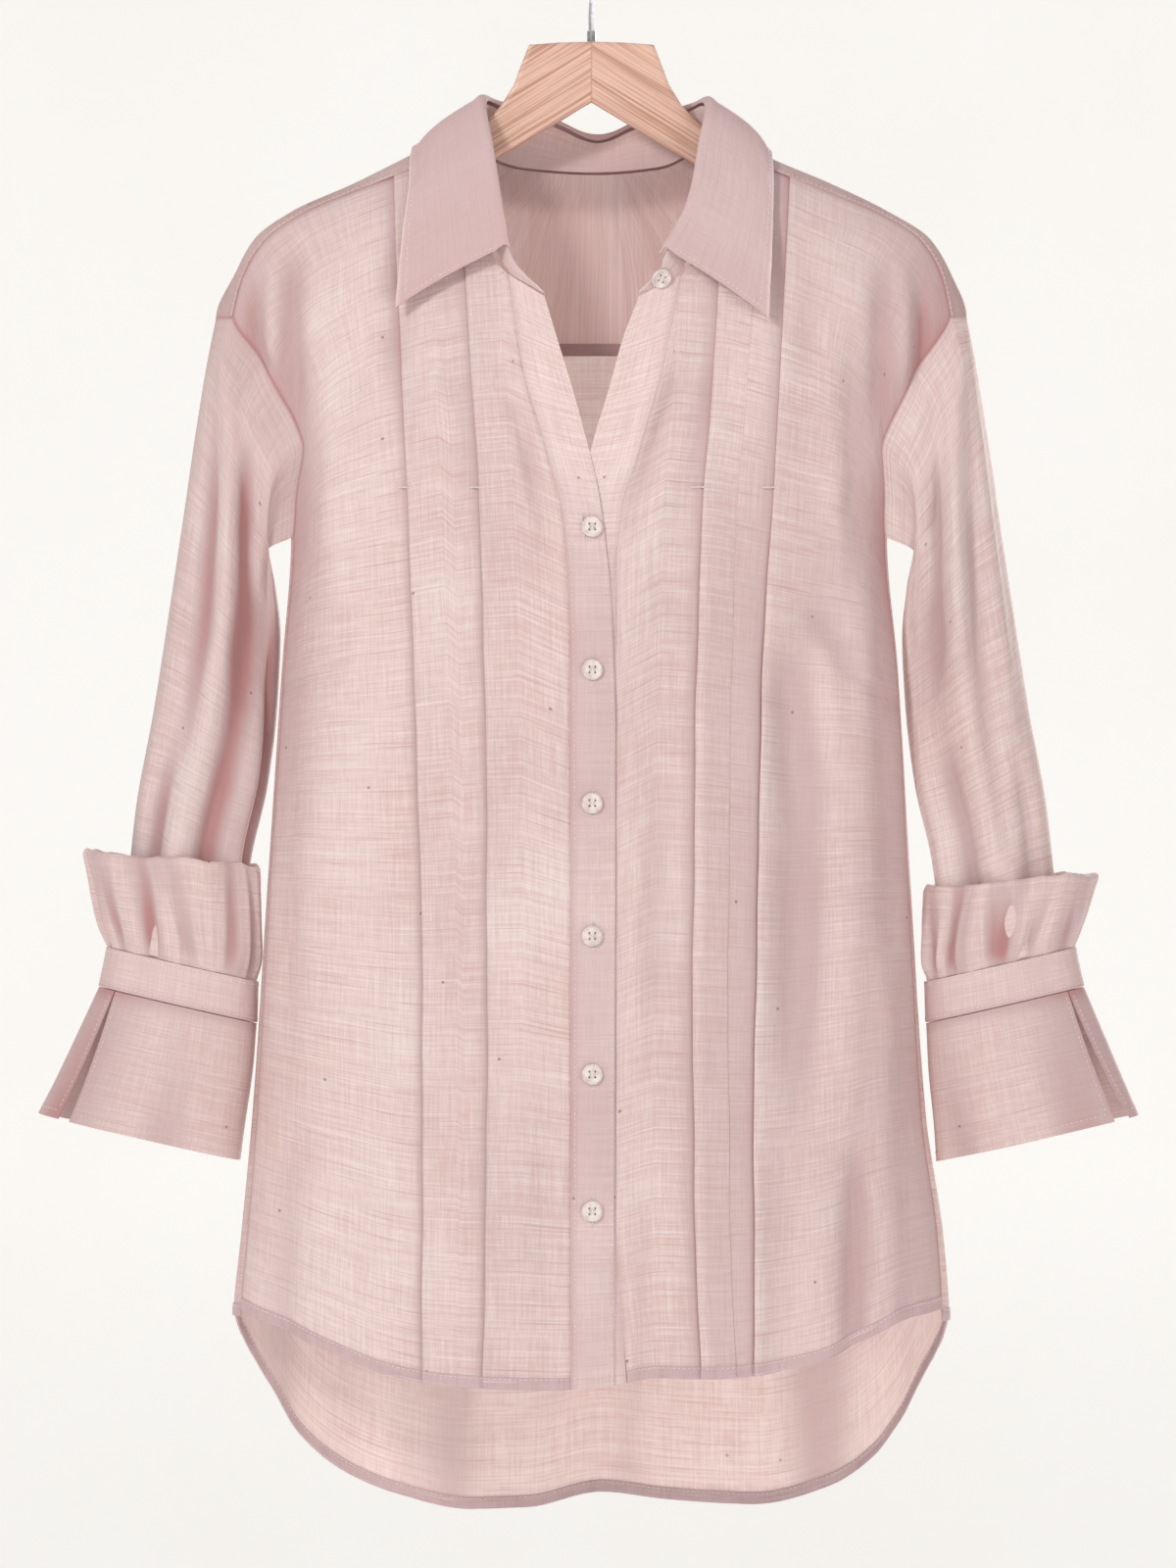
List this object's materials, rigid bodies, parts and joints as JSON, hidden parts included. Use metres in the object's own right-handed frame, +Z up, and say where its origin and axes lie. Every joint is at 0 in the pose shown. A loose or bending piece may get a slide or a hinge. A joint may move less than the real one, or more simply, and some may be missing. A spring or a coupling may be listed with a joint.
{
  "type": "blouse on a wooden hanger",
  "caption": "Long-sleeved button-front blouse with a pointed collar, pleated fronts, gathered turned-up sleeve ends and flared cuffs, hanging on a wooden hanger.",
  "frame": {"origin": "inner crown of the hanger's hook, where it hangs on a rail", "axes": "+Z up along the hook's shank, -Y out of the blouse's front, +X to the wearer's left"},
  "size_m": [0.7074, 0.1485, 1.0281],
  "materials": {
    "cloth": "matte slub weave",
    "hem": "matte slub weave",
    "button": "satin",
    "hanger_wood": "satin varnish",
    "hanger_metal": "polished wire"
  },
  "bodies": {
    "root": {"front_right": "cloth", "front_left": "cloth", "hem_front_right": "hem", "hem_front_left": "hem", "placket_right": "cloth", "placket_left": "cloth", "back": "cloth", "hem_back": "hem", "yoke": "cloth", "collar_stand": "cloth", "collar": "cloth", "sleeve_right": "cloth", "puff_right": "cloth", "cuff_band_right": "cloth", "cuff_flare_right": "cloth", "sleeve_left": "cloth", "puff_left": "cloth", "cuff_band_left": "cloth", "cuff_flare_left": "cloth", "button_1": "button", "button_2": "button", "button_3": "button", "button_4": "button", "button_5": "button", "button_6": "button", "button_7": "button", "hanger_body": "hanger_wood", "hanger_ferrule": "hanger_metal", "hanger_hook": "hanger_metal"}
  },
  "joints": []
}
